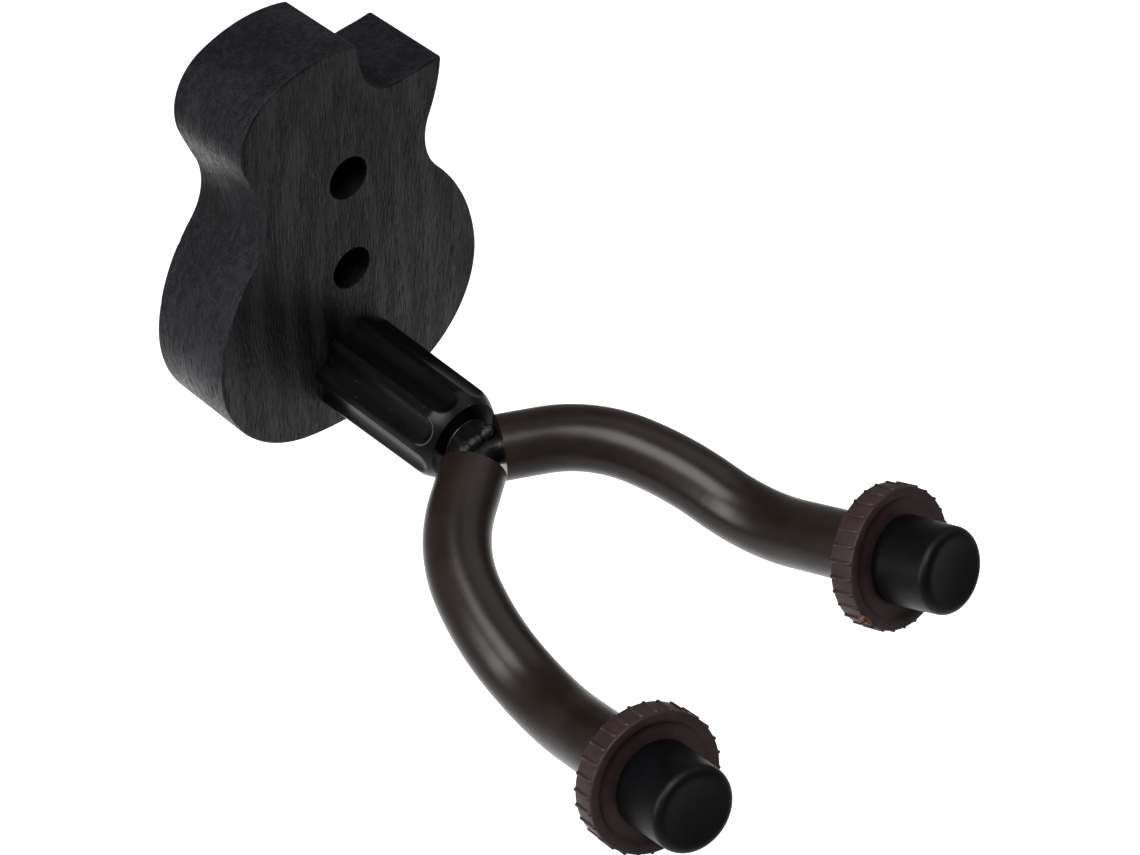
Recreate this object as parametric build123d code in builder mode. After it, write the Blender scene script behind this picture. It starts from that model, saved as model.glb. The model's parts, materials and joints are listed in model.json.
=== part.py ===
"""Wall guitar hanger: a small wooden block shaped like a guitar body, a fluted collar
standing off its face, and a bent steel yoke with rubber sleeves that swivels on a bolt.

Frame: the origin is on the wall plane, midway between the two wall screw holes.
+X points to the right for someone facing the wall, +Y points into the wall and +Z up,
so the hanger reaches out from the wall along -Y. All sizes are in millimetres.
"""

import os
from math import atan, cos, degrees, radians, sin, tan

from build123d import *

# Wooden block
block_thickness = 25.0
block_edge_radius = 0.7
screw_spacing = 27.2
screw_hole_diameter = 5.5
screw_pocket_diameter = 11.5
screw_pocket_depth = 17.0

# Outline of the block: two chains of tangent bends that start at the bottom centre, with
# the radius and the angle of each bend, and a minus where the side curves in at the waist.
# The cutaway runs through a few points from the horn's tip to the shoulder's.
bottom_z = -61.1
body_bends = [(76.4, 11.7), (31.8, 84.0), (48.9, 35.8), (16.0, -66.0)]
horn_bends = [(42.4, 21.9)]
shoulder_bends = [(150.4, 3.6), (15.0, 86.2), (37.4, 40.4)]
cutaway_points = [(19.4, 34.1), (12.3, 34.1), (6.6, 38.6)]
cutaway_directions = [(-1, -0.3), (-0.25, 1)]
horn_radius = 1.3
horn_height = 30.0

# Swivel: everything that turns lies on one axis, below the screw holes
stem_height = -43.4
yoke_turn = 11.1
bolt_diameter = 8.0
block_bore_diameter = 8.6
nut_pocket_diameter = 22.0
nut_pocket_depth = 12.0

# Fluted collar
collar_length = 40.0
collar_root_diameter = 25.8
collar_nose_diameter = 24.8
collar_end_diameter = 20.6
collar_nose_length = 4.7
nose_bulge = 0.35
collar_bore_diameter = 8.16
flute_count = 8
flute_cutter_radius = 5.0
flute_depth = 1.5
flute_end_margin = 3.5
first_flute_angle = 101.6

# Bolt, washers and nut
front_washer_diameter = 12.6
front_washer_thickness = 0.8
back_washer_diameter = 17.0
back_washer_thickness = 1.6
spring_washer_diameter = 13.4
spring_washer_thickness = 1.0
spring_washer_gap = 1.4
spring_cut_depth = 4.0
washer_bore_diameter = 8.4
head_width = 12.0
head_height = 4.4
head_saddle_depth = 2.4
head_corner_ratio = 1.12
head_corner_taper = 0.5
nut_width = 13.0
nut_height = 8.0
nut_hex_height = 5.6
nut_crown_diameter = 11.8
insert_diameter = 10.2
insert_height = 1.8
nut_lip = 0.3
bolt_end_margin = 0.6
bolt_chamfer = 0.8
slip_gap = 0.05

# Bent rod: one half, from the hub to the tip. Headings are measured from straight out.
rod_diameter = 8.0
rod_end_radius = 1.0
yoke_dip = 14.4
crown_bend_radius = 8.3
crotch_heading = 58.7
crotch_straight = 10.4
hub_bend_radius = 36.8
easing_heading = 21.5
easing_bend_radius = 82.0
toe_out = 6.8
lift_bend_radius = 39.4
tip_rise = 22.0

# Rubber sleeves, end rings and end caps
sleeve_diameter = 16.4
sleeve_tip_length = 25.6
ring_thickness = 6.5
ring_diameter = 34.4
ring_body_diameter = 33.5
ring_rib_count = 28
ring_rib_width = 0.9
ring_rib_root = 0.3
ring_rim_width = 2.3
ring_dish_depth = 0.8
cap_root_diameter = 21.0
cap_nose_diameter = 20.4
cap_length = 15.8
cap_edge_radius = 2.6
cap_dish_depth = 0.5
cap_dish_margin = 0.4
cap_dish_slope = 20.0
cap_wall = 3.5

# Weld beads between the bolt head and the rod
bead_radius = 1.8
bead_half_length = 4.6
bead_height = 4.3
bead_end_radius = 1.1

# Places that follow from the sizes above
stem_plane = Plane.XY.offset(stem_height)
stem_axis = Axis((0, 0, stem_height), (0, 1, 0))
swivel_axis = Axis((0, 0, stem_height), (0, -1, 0))
block_front = -block_thickness
collar_front = block_front - collar_length
head_back = collar_front - front_washer_thickness
head_front = head_back - head_height
rod_crown = head_front + head_saddle_depth - rod_diameter / 2
pocket_floor = -nut_pocket_depth
back_washer_top = pocket_floor + back_washer_thickness
spring_washer_top = back_washer_top + spring_washer_thickness
nut_top = spring_washer_top + nut_height


def wall_parallel(y):
    """A plane parallel to the wall at this Y, drawn as seen from the front."""
    return Plane(origin=(0, y, 0), x_dir=(1, 0, 0), z_dir=(0, -1, 0))


def stem_plane_at(y):
    """The same, with its origin on the swivel axis."""
    return Plane(origin=(0, y, stem_height), x_dir=(1, 0, 0), z_dir=(0, -1, 0))


def save(piece, label, turn=0.0):
    """Write a finished piece as a node, turned this far about the swivel axis."""
    placed = piece.part.rotate(swivel_axis, turn)
    placed.label = label
    export_step(placed, f"parts/{label}.step")


def save_pair(piece, label):
    """Write a right-hand yoke piece and its mirror image."""
    with BuildPart() as left_piece:
        add(piece.part)
        mirror(about=Plane.YZ, mode=Mode.REPLACE)
    save(left_piece, f"left_{label}", yoke_turn)
    save(piece, f"right_{label}", yoke_turn)


os.makedirs("parts", exist_ok=True)

# --- Base block: single-cutaway guitar body, screw holes, bolt bore and nut pocket ---
def bend_chain(bends, side):
    """Draw tangent bends from the bottom centre and return the end of the last."""
    point = (0, bottom_z)
    heading = 0
    for radius, angle in bends:
        direction = (side * cos(radians(heading)), sin(radians(heading)))
        bend = JernArc(point, direction, radius, side * angle)
        point = bend.end_of_arc
        heading += angle
    return point


with BuildPart() as base_block:
    with BuildSketch(wall_parallel(0)) as outline:
        with BuildLine():
            horn_tip = bend_chain(body_bends + horn_bends, 1)
            shoulder_tip = bend_chain(body_bends + shoulder_bends, -1)
            Spline(horn_tip, *cutaway_points, shoulder_tip, tangents=cutaway_directions)
        make_face()
        horn_corner = outline.vertices().filter_by(lambda vertex: vertex.X > 0 and vertex.Y > horn_height)
        fillet(horn_corner, radius=horn_radius)
    extrude(amount=block_thickness)
    fillet(base_block.faces().sort_by(Axis.Y)[0].outer_wire().edges(), radius=block_edge_radius)
    fillet(base_block.faces().sort_by(Axis.Y)[-1].outer_wire().edges(), radius=block_edge_radius)
    with Locations(wall_parallel(block_front)):
        with Locations((0, screw_spacing / 2), (0, -screw_spacing / 2)):
            CounterBoreHole(screw_hole_diameter / 2, screw_pocket_diameter / 2, screw_pocket_depth)
    with Locations(Plane(origin=(0, 0, stem_height), x_dir=(1, 0, 0), z_dir=(0, 1, 0))):
        CounterBoreHole(block_bore_diameter / 2, nut_pocket_diameter / 2, nut_pocket_depth)
save(base_block, "base_block")

# --- Collar: tapered tube with a rounded nose and flutes open at the block end ---
flute_axis_radius = collar_nose_diameter / 2 - flute_depth + flute_cutter_radius
nose_start = collar_front + collar_nose_length
nose_middle = ((collar_nose_diameter + collar_end_diameter) / 4 + nose_bulge, collar_front + collar_nose_length / 2)

with BuildPart() as collar:
    with BuildSketch(stem_plane):
        with BuildLine():
            Line((collar_bore_diameter / 2, block_front), (collar_root_diameter / 2, block_front))
            Line((collar_root_diameter / 2, block_front), (collar_nose_diameter / 2, nose_start))
            ThreePointArc(
                (collar_nose_diameter / 2, nose_start), nose_middle, (collar_end_diameter / 2, collar_front)
            )
            Line((collar_end_diameter / 2, collar_front), (collar_bore_diameter / 2, collar_front))
            Line((collar_bore_diameter / 2, collar_front), (collar_bore_diameter / 2, block_front))
        make_face()
    revolve(axis=stem_axis)
    with Locations(stem_plane_at(block_front)):
        with PolarLocations(flute_axis_radius, flute_count, start_angle=first_flute_angle):
            Cylinder(
                flute_cutter_radius,
                collar_length - flute_end_margin,
                align=(Align.CENTER, Align.CENTER, Align.MIN),
                mode=Mode.SUBTRACT,
            )
    with Locations(stem_plane_at(collar_front + flute_end_margin)):
        with PolarLocations(flute_axis_radius, flute_count, start_angle=first_flute_angle):
            Sphere(flute_cutter_radius, mode=Mode.SUBTRACT)
save(collar, "collar")


# --- Washers ---
def washer(y, outer_diameter, thickness):
    """A flat washer whose wall side is at y, reaching out along -Y."""
    with BuildPart() as ring:
        with BuildSketch(stem_plane_at(y)):
            Circle(outer_diameter / 2)
            Circle(washer_bore_diameter / 2, mode=Mode.SUBTRACT)
        extrude(amount=thickness)
    return ring


front_washer = washer(collar_front, front_washer_diameter, front_washer_thickness)
save(front_washer, "front_washer")

back_washer = washer(back_washer_top, back_washer_diameter, back_washer_thickness)
save(back_washer, "back_washer")

with BuildPart() as spring_washer:
    add(washer(spring_washer_top, spring_washer_diameter, spring_washer_thickness).part)
    with Locations((spring_washer_diameter / 2, spring_washer_top, stem_height)):
        Box(spring_washer_diameter, spring_cut_depth, spring_washer_gap, mode=Mode.SUBTRACT)
save(spring_washer, "spring_washer", yoke_turn)


def hexagon(width):
    """A hexagon with flats above and below, width across the flats."""
    RegularPolygon(width / 2, 6, major_radius=False)


# --- Lock nut and its nylon insert, in the pocket behind the block ---
with BuildPart() as lock_nut:
    with BuildSketch(stem_plane_at(nut_top)):
        Circle(nut_crown_diameter / 2)
    extrude(amount=nut_height)
    with BuildSketch(stem_plane_at(spring_washer_top + nut_hex_height)):
        hexagon(nut_width)
    extrude(amount=nut_hex_height)
    with BuildSketch(stem_plane_at(nut_top - nut_lip)):
        Circle(insert_diameter / 2)
    extrude(amount=insert_height, mode=Mode.SUBTRACT)
    with BuildSketch(stem_plane_at(nut_top)):
        Circle(bolt_diameter / 2 + slip_gap)
    extrude(amount=nut_height, mode=Mode.SUBTRACT)
save(lock_nut, "lock_nut", yoke_turn)

with BuildPart() as nut_insert:
    with BuildSketch(stem_plane_at(nut_top - nut_lip)):
        Circle(insert_diameter / 2)
        Circle(bolt_diameter / 2 + slip_gap, mode=Mode.SUBTRACT)
    extrude(amount=insert_height)
save(nut_insert, "nut_insert", yoke_turn)

# --- Centre line of the right arm, drawn with the yoke level ---
# All but the last bend lie in a plane that dips towards the tips.
dip = radians(yoke_dip)
dip_plane = Plane(
    origin=(0, rod_crown, stem_height), x_dir=(1, 0, 0), z_dir=(0, -sin(dip), cos(dip))
)
# Heading is measured from straight out; in the dipping plane it is a little less than
# the toe-out seen from above.
final_heading = degrees(atan(tan(radians(toe_out)) * cos(dip)))
arm_slope = degrees(atan(tan(dip) * cos(radians(final_heading))))

with BuildLine(dip_plane) as crown_line:
    crown_bend = JernArc((0, 0), (1, 0), crown_bend_radius, crotch_heading - 90)
with BuildLine(dip_plane) as bend_line:
    straight = Line(crown_bend @ 1, crown_bend @ 1 + crown_bend % 1 * crotch_straight)
    hub_bend = JernArc(straight @ 1, straight % 1, hub_bend_radius, easing_heading - crotch_heading)
    JernArc(hub_bend @ 1, hub_bend % 1, easing_bend_radius, final_heading - easing_heading)

lift_start = bend_line.line @ 1
arm_direction = bend_line.line % 1
side_direction = arm_direction.cross(Vector(0, 0, 1)).normalized()
lift_plane = Plane(origin=lift_start, x_dir=arm_direction, z_dir=side_direction)

with BuildLine(lift_plane) as lift_line:
    JernArc((0, 0), (1, 0), lift_bend_radius, arm_slope + tip_rise)

tip_direction = lift_line.line % 1
tip_root = lift_line.line @ 1


def tip_plane(distance):
    """A plane across the arm's straight tip, this far past the last bend."""
    return Plane(origin=tip_root + tip_direction * distance, x_dir=side_direction, z_dir=tip_direction)


ring_back = sleeve_tip_length
ring_front = ring_back + ring_thickness
rod_end = ring_front + cap_length - cap_wall

with BuildLine() as sleeve_path:
    add(bend_line.line)
    add(lift_line.line)
    Line(tip_root, tip_plane(sleeve_tip_length).origin)
with BuildLine() as rod_path:
    add(crown_line.line)
    add(bend_line.line)
    add(lift_line.line)
    Line(tip_root, tip_plane(rod_end).origin)

# --- Bent rod: the right half and its mirror image, joined at the crown ---
with BuildPart() as yoke_rod:
    with BuildSketch(Plane(origin=rod_path.line @ 0, z_dir=rod_path.line % 0)):
        Circle(rod_diameter / 2)
    sweep(path=rod_path.line)
    fillet(yoke_rod.faces().sort_by(Axis.Y)[0].edges(), radius=rod_end_radius)
    mirror(about=Plane.YZ)

save(yoke_rod, "yoke_rod", yoke_turn)

# --- Bolt: hexagon head with a saddle for the rod, plain shank, chamfered end ---
bolt_end = -bolt_end_margin

with BuildPart() as yoke_bolt:
    with BuildSketch(stem_plane_at(head_back)):
        hexagon(head_width)
    extrude(amount=head_height)
    with BuildSketch(stem_plane_at(head_back)):
        Circle(head_width / 2 * head_corner_ratio)
    extrude(amount=head_height, taper=-head_corner_taper, mode=Mode.INTERSECT)
    with BuildSketch(stem_plane_at(bolt_end)):
        Circle(bolt_diameter / 2)
    extrude(amount=bolt_end - head_back)
    chamfer(yoke_bolt.edges().sort_by(Axis.Y)[-1], length=bolt_chamfer)
    add(yoke_rod.part, mode=Mode.SUBTRACT)
save(yoke_bolt, "yoke_bolt", yoke_turn)

# --- Weld beads above and below the rod, where it lies in the bolt head ---
with BuildPart() as weld_beads:
    for side in (1, -1):
        with BuildSketch(Plane.YZ.offset(-bead_half_length)):
            with Locations((head_front, stem_height + side * bead_height)):
                Circle(bead_radius)
        extrude(amount=2 * bead_half_length)
    fillet(weld_beads.edges().filter_by(GeomType.CIRCLE), radius=bead_end_radius)
    add(yoke_rod.part, mode=Mode.SUBTRACT)
    add(yoke_bolt.part, mode=Mode.SUBTRACT)
save(weld_beads, "weld_beads", yoke_turn)

# --- Rubber sleeves, cut square at both ends ---
with BuildPart() as sleeve:
    with BuildSketch(Plane(origin=sleeve_path.line @ 0, z_dir=sleeve_path.line % 0)):
        Circle(sleeve_diameter / 2)
        Circle(rod_diameter / 2 + slip_gap, mode=Mode.SUBTRACT)
    sweep(path=sleeve_path.line)
save_pair(sleeve, "sleeve")

# --- End rings: ribbed discs with a raised rim round a shallow dish ---
rib_height = (ring_diameter - ring_body_diameter) / 2
rib_middle = ring_body_diameter / 2 + rib_height / 2 - ring_rib_root

with BuildPart() as end_ring:
    with BuildSketch(tip_plane(ring_back)):
        Circle(ring_body_diameter / 2)
        with PolarLocations(rib_middle, ring_rib_count):
            Rectangle(rib_height + 2 * ring_rib_root, ring_rib_width)
        Circle(rod_diameter / 2 + slip_gap, mode=Mode.SUBTRACT)
    extrude(amount=ring_thickness)
    with BuildSketch(tip_plane(ring_front)):
        Circle(ring_body_diameter / 2 - ring_rim_width)
        Circle(cap_root_diameter / 2, mode=Mode.SUBTRACT)
    extrude(amount=-ring_dish_depth, mode=Mode.SUBTRACT)
save_pair(end_ring, "end_ring")

# --- End caps: blind rubber caps pushed over the rod ends ---
with BuildPart() as end_cap:
    with BuildSketch(tip_plane(ring_front)):
        Circle(cap_root_diameter / 2)
    with BuildSketch(tip_plane(ring_front + cap_length)):
        Circle(cap_nose_diameter / 2)
    loft()
    fillet(end_cap.edges().sort_by(lambda edge: edge.center().dot(tip_direction))[-1], radius=cap_edge_radius)
    with BuildSketch(tip_plane(ring_front)):
        Circle(rod_diameter / 2 + slip_gap)
    extrude(amount=cap_length - cap_wall, mode=Mode.SUBTRACT)
    with BuildSketch(tip_plane(ring_front + cap_length)):
        Circle(cap_nose_diameter / 2 - cap_edge_radius - cap_dish_margin)
    extrude(amount=-cap_dish_depth, taper=cap_dish_slope, mode=Mode.SUBTRACT)
save_pair(end_cap, "end_cap")
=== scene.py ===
import json
from math import cos, pi, radians, sin

import bmesh
import bpy
from mathutils import Euler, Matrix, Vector


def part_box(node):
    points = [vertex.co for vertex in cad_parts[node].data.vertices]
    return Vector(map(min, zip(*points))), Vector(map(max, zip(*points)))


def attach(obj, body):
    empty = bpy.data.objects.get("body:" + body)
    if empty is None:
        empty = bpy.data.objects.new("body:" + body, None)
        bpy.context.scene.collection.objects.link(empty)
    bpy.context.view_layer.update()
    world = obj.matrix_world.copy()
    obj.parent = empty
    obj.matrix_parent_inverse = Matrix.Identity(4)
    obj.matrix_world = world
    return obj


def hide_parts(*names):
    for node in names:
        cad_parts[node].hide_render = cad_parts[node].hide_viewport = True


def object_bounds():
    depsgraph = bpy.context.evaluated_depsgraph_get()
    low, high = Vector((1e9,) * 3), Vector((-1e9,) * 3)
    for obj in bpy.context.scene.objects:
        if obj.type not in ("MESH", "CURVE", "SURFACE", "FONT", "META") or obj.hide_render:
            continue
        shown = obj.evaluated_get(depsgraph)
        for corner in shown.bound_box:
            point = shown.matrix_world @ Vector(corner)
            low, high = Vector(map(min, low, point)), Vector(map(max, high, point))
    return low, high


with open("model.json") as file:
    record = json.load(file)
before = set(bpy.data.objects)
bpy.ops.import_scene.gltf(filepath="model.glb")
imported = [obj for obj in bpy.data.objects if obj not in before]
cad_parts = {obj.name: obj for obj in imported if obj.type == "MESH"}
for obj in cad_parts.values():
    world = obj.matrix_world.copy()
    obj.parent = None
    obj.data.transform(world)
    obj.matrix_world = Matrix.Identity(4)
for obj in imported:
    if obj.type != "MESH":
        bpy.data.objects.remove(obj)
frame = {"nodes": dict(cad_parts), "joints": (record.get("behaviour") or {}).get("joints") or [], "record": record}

bl_info = {
    "name": "Wall guitar hanger",
    "version": (1, 0, 0),
    "blender": (4, 5, 0),
    "location": "View3D > Sidebar > Hanger",
    "description": "Finishes, moulded pieces, hardware and studio for a wall guitar hanger",
    "category": "Object",
}

# Everything below is in metres, in the frame's own axes: -Y leads out from the wall.
MM = 0.001
OUTWARD = Vector((0, -1, 0))
# The trimmed corners and the flat ends of the hexagons, as shares of half their width
HEAD_CORNER, HEAD_FLAT = 1.11, 0.93
NUT_CORNER, NUT_FLAT = 1.12, 0.97
cad_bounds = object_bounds()
nodes = frame["nodes"]
stem = Vector(frame["joints"][0]["pos_m"])


# --- Places read from the frame ---


def reach(node):
    """Where a node on the swivel axis starts and ends, measured out from the wall."""
    low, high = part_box(node)
    return -high.y, -low.y


def middle(node):
    """The middle of a node's surface, which lies on the axis of a round piece."""
    faces = nodes[node].data.polygons
    weighted = sum((face.center * face.area for face in faces), Vector())
    return weighted / sum(face.area for face in faces)


class Tip:
    """The straight end of one arm, where its stop ring and its cap sit."""

    def __init__(self, side):
        self.side = side
        self.ring_middle = middle(f"{side}_end_ring")
        self.axis = (middle(f"{side}_end_cap") - self.ring_middle).normalized()
        self.across = self.axis.cross(Vector((0, 0, 1))).normalized()

    def offsets(self, piece):
        """The places of a piece's vertices, seen from the ring's middle."""
        return [vertex.co - self.ring_middle for vertex in nodes[f"{self.side}_{piece}"].data.vertices]

    def span(self, piece):
        """The lowest and highest place of a piece along the tip's axis."""
        along = [self.axis.dot(offset) for offset in self.offsets(piece)]
        return min(along), max(along)

    def radius(self, piece):
        """The largest distance of a piece from the tip's axis."""
        return max((offset - self.axis * self.axis.dot(offset)).length for offset in self.offsets(piece))

    def at(self, along):
        return self.ring_middle + self.axis * along


tips = [Tip("left"), Tip("right")]
yoke_side = tips[1].ring_middle - tips[0].ring_middle
yoke_side.y = 0
yoke_side.normalize()
yoke_up = yoke_side.cross(OUTWARD) * -1
screws = next(mount for mount in frame["record"]["mounts"] if mount["name"] == "wall_screws")
hole_height = screws["dims"]["spacing_y_mm"] * MM / 2


# --- Node graphs written as Python expressions ---


def arithmetic(operation, swapped=False):
    """The method behind one of Python's operators on wires."""
    def method(self, other):
        pair = (other, self) if swapped else (self, other)
        return self.graph.node("ShaderNodeMath", {"operation": operation}, pair)
    return method


class Wire:
    """A node socket that takes part in Python arithmetic."""

    def __init__(self, graph, socket):
        self.graph = graph
        self.socket = socket

    def math(self, operation, *others):
        return self.graph.node("ShaderNodeMath", {"operation": operation}, (self, *others))

    __add__ = __radd__ = arithmetic("ADD")
    __mul__ = __rmul__ = arithmetic("MULTIPLY")
    __sub__, __rsub__ = arithmetic("SUBTRACT"), arithmetic("SUBTRACT", True)
    __truediv__, __rtruediv__ = arithmetic("DIVIDE"), arithmetic("DIVIDE", True)

    def step(self, low, high):
        """0 below low, 1 above high and a smooth rise between them."""
        settings = {"interpolation_type": "SMOOTHSTEP"}
        return self.graph.node("ShaderNodeMapRange", settings, (self, low, high, 0.0, 1.0))


def diagonal(one, other):
    """The length of the diagonal over two wires."""
    return (one * one + other * other).math("SQRT")


class Graph:
    """A node tree written as Python calls."""

    family = "ShaderNode"

    def __init__(self, tree):
        self.tree = tree

    def fill(self, socket, value):
        if isinstance(value, Wire):
            self.tree.links.new(value.socket, socket)
        else:
            socket.default_value = value

    def node(self, kind, settings=None, inputs=(), output=0):
        """Add a node, with its settings first, then the values or links of its sockets."""
        made = self.tree.nodes.new(kind)
        for name, value in (settings or {}).items():
            setattr(made, name, value)
        pairs = inputs.items() if isinstance(inputs, dict) else enumerate(inputs)
        for key, value in pairs:
            self.fill(made.inputs[key], value)
        return Wire(self, made.outputs[output])

    def named(self, kind, **inputs):
        """Add a node of the tree's own family, its inputs given by name with _ for a space."""
        inputs = {name.replace("_", " "): value for name, value in inputs.items()}
        return self.node(self.family + kind, inputs=inputs)

    def split(self, vector):
        """The three parts of a vector, as wires."""
        first = self.node("ShaderNodeSeparateXYZ", inputs=(vector,))
        return [Wire(self, socket) for socket in first.socket.node.outputs]


class Finish(Graph):
    """A material whose patterns follow the piece's own coordinates."""

    def __init__(self, name, paint):
        self.paint = paint
        self.material = bpy.data.materials.new(name)
        self.material.use_nodes = True
        super().__init__(self.material.node_tree)
        self.shader = self.tree.nodes["Principled BSDF"]
        self.place = self.node("ShaderNodeTexCoord", output="Object")

    def noise(self, size, stretch=(1, 1, 1), detail=4.0, roughness=0.55, distortion=0.0, shift=(0, 0, 0)):
        """Cloudy values around 0.5; size is how large a feature is, stretched along each axis."""
        scale = tuple(1 / (size * share) for share in stretch)
        place = self.named("Mapping", Vector=self.place, Scale=scale, Location=shift)
        return self.named(
            "TexNoise", Vector=place, Scale=1.0, Detail=detail, Roughness=roughness,
            Distortion=distortion,
        )

    def cells(self, size, stretch=(1, 1, 1)):
        """The distance to the nearest of many scattered points, in feature sizes."""
        scale = tuple(1 / (size * share) for share in stretch)
        place = self.named("Mapping", Vector=self.place, Scale=scale)
        return self.named("TexVoronoi", Vector=place, Scale=1.0)

    def mix(self, factor, one, other):
        """One colour where the factor is 0 and the other where it is 1."""
        inputs = {0: factor, 6: one, 7: other}
        return self.node("ShaderNodeMix", {"data_type": "RGBA"}, inputs, output=2)

    def tone(self, share):
        """A lighter or darker tone of the paint, for a colour socket."""
        return tuple(channel * share for channel in self.paint[:3]) + (1.0,)

    def tones(self, factor, low, high):
        """One tone of the paint where the factor is 0 and another where it is 1."""
        return self.mix(factor, self.tone(low), self.tone(high))

    def surface(self, colour, roughness, height, depth, specular=0.5, **others):
        """Set the shader's colour, roughness and gloss, and a relief as deep as given."""
        relief = self.named("Bump", Height=height, Distance=depth, Strength=1.0)
        inputs = {"Base Color": colour, "Roughness": roughness, "Normal": relief}
        inputs["Specular IOR Level"] = specular
        for name, value in {**inputs, **others}.items():
            self.fill(self.shader.inputs[name.replace("_", " ")], value)
        return self.material


# --- Finishes ---


def black_stained_wood(paint):
    """Open-grain timber stained black: upright fibres and a faint arched figure, with a painted bluish sheen of
    top light on the sides and painted shade inside the screw holes.
    """
    finish = Finish("Black stained wood", paint)
    x, y, z = finish.split(finish.place)
    outward = finish.split(finish.node("ShaderNodeTexCoord", output="Normal"))[1]
    # Painted light: the sides, told apart by their normal, get a bluish colour that stands in for top light
    # reflected off them, over their own grain.
    side = 1 - outward.math("ABSOLUTE").step(0.3, 0.9)
    streaks = finish.noise(1.5 * MM, (1, 1, 9), detail=6, roughness=0.65, distortion=0.2)
    fibres = finish.noise(0.42 * MM, (1, 1, 7), detail=3, roughness=0.6, shift=(3, 7, 1))
    clouds = finish.noise(16 * MM, (1, 1, 2.2), detail=3, shift=(5, 2, 9))
    pores = finish.cells(0.9 * MM, (1, 1, 7)).step(0.34, 0.12)
    across = (x - 2 * MM + clouds * (7 * MM)) / (12 * MM)
    along = (z + 24 * MM) / (46 * MM)
    arch = diagonal(across, along) + streaks * 0.06
    figure = (arch * 9).math("SINE").step(-0.6, 1.0)
    tone = streaks * 0.60 + fibres * 0.55 + clouds * 0.30
    face = finish.tones((tone + figure * 0.30).step(0.70, 1.05), 0.08, 1.9)
    flank_grain_and_painted_sheen = finish.mix(tone.step(0.64, 0.82), (0.0003, 0.0003, 0.0006, 1), (0.0085, 0.0083, 0.0125, 1))
    colour = finish.mix(side, face, flank_grain_and_painted_sheen)
    colour = finish.mix(pores * 0.35, colour, finish.tone(0.25))
    # Painted shade: the insides of the two screw holes are painted near black, where shade falls deep in the
    # holes.
    for height in (hole_height, -hole_height):
        from_hole = diagonal(x, z - height)
        painted_hole_shade = from_hole.step(6.1 * MM, 5.9 * MM) * y.step(-24.8 * MM, -24.0 * MM)
        colour = finish.mix(painted_hole_shade, colour, (0.0004, 0.0004, 0.0004, 1))
    relief = streaks * 0.4 + fibres * 0.9 - pores * 0.3
    worn = finish.noise(7 * MM, (1, 1, 3), detail=5, roughness=0.7, shift=(1, 4, 2)).step(0.35, 0.75)
    return finish.surface(
        colour, 0.52 - tone.step(0.64, 0.84) * 0.18 + pores * 0.2 - worn * 0.08, relief, depth=0.34 * MM,
        specular=0.16
    )


def satin_plastic(paint):
    """Moulded black plastic with a soft orange-peel skin and a few dust specks."""
    finish = Finish("Black moulded plastic", paint)
    peel = finish.noise(0.9 * MM, detail=2)
    rub = finish.noise(5 * MM, (1, 5, 1), detail=5, roughness=0.7)
    dust = finish.cells(2.3 * MM).step(0.060, 0.035)
    colour = finish.tones(rub.step(0.4, 0.75), 0.6, 1.35)
    return finish.surface(
        finish.mix(dust * 0.5, colour, (0.22, 0.22, 0.23, 1)), 0.24 + rub * 0.14 + dust * 0.3,
        peel + dust * 0.5, depth=0.012 * MM, specular=0.17
    )


def glossy_paint(paint):
    """Black paint over steel, thick and glossy, with runs, grit and scuffs."""
    finish = Finish("Black painted steel", paint)
    runs = finish.noise(1.6 * MM, detail=4, distortion=0.6)
    grit = finish.noise(0.25 * MM, detail=2)
    scuffs = finish.noise(0.8 * MM, (1, 3, 1), detail=6, roughness=0.8).step(0.60, 0.74)
    return finish.surface(
        finish.tones(scuffs, 0.6, 3.0), 0.20 + runs * 0.16 + scuffs * 0.2, runs + grit * 0.25,
        depth=0.09 * MM, specular=0.28, Coat_Weight=0.12, Coat_Roughness=0.12
    )


def weld_metal(paint):
    """Weld metal under thin black paint that has broken away on the high spots."""
    finish = Finish("Weld metal", paint)
    crust = finish.noise(0.5 * MM, detail=6, roughness=0.7)
    bare = finish.noise(1.9 * MM, detail=4, roughness=0.65, shift=(2, 5, 3)).step(0.56, 0.66)
    return finish.surface(
        finish.mix(bare, (0.003, 0.003, 0.0035, 1), finish.tone(1.2)), 0.20 + crust * 0.3, crust,
        depth=0.22 * MM, specular=0.35, Metallic=bare * 0.9
    )


def zinc_plate(paint):
    """Zinc plating: bright, slightly clouded, with fine turning marks round the swivel axis."""
    finish = Finish("Zinc plated steel", paint)
    x, _, z = finish.split(finish.place)
    turning = (diagonal(x, z - stem.z) * (2 * pi / (0.22 * MM))).math("SINE")
    cloud = finish.noise(2.2 * MM, detail=5, roughness=0.7)
    return finish.surface(
        finish.tones(cloud.step(0.3, 0.7), 0.75, 1.1), 0.24 + cloud * 0.22, turning + cloud * 2,
        depth=0.006 * MM, Metallic=1.0
    )


def nylon(paint):
    """Natural nylon, milky and faintly clouded, with a waxy gloss."""
    finish = Finish("Natural nylon", paint)
    cloud = finish.noise(1.4 * MM, detail=4)
    return finish.surface(
        finish.tones(cloud, 0.8, 1.05), 0.36 + cloud * 0.2, cloud, depth=0.03 * MM,
        Subsurface_Weight=0.15, Subsurface_Radius=(0.4 * MM, 0.4 * MM, 0.3 * MM)
    )


def sleeve_rubber(paint):
    """Smooth extruded rubber: brown-black, satin, with a faint bloom and handling marks."""
    finish = Finish("Sleeve rubber", paint)
    bloom = finish.noise(14 * MM, detail=4, roughness=0.6)
    marks = finish.noise(2.6 * MM, (1, 3, 1), detail=6, roughness=0.75, shift=(4, 1, 6)).step(0.58, 0.80)
    skin = finish.noise(0.28 * MM, detail=2)
    waves = finish.noise(9 * MM, detail=2, shift=(8, 3, 5))
    colour = finish.tones(bloom.step(0.3, 0.7), 0.8, 1.25)
    return finish.surface(
        finish.mix(marks * 0.35, colour, finish.tone(1.9)), 0.27 + bloom * 0.08 + marks * 0.12,
        skin * 0.06 + waves, depth=0.10 * MM, specular=0.27
    )


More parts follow.
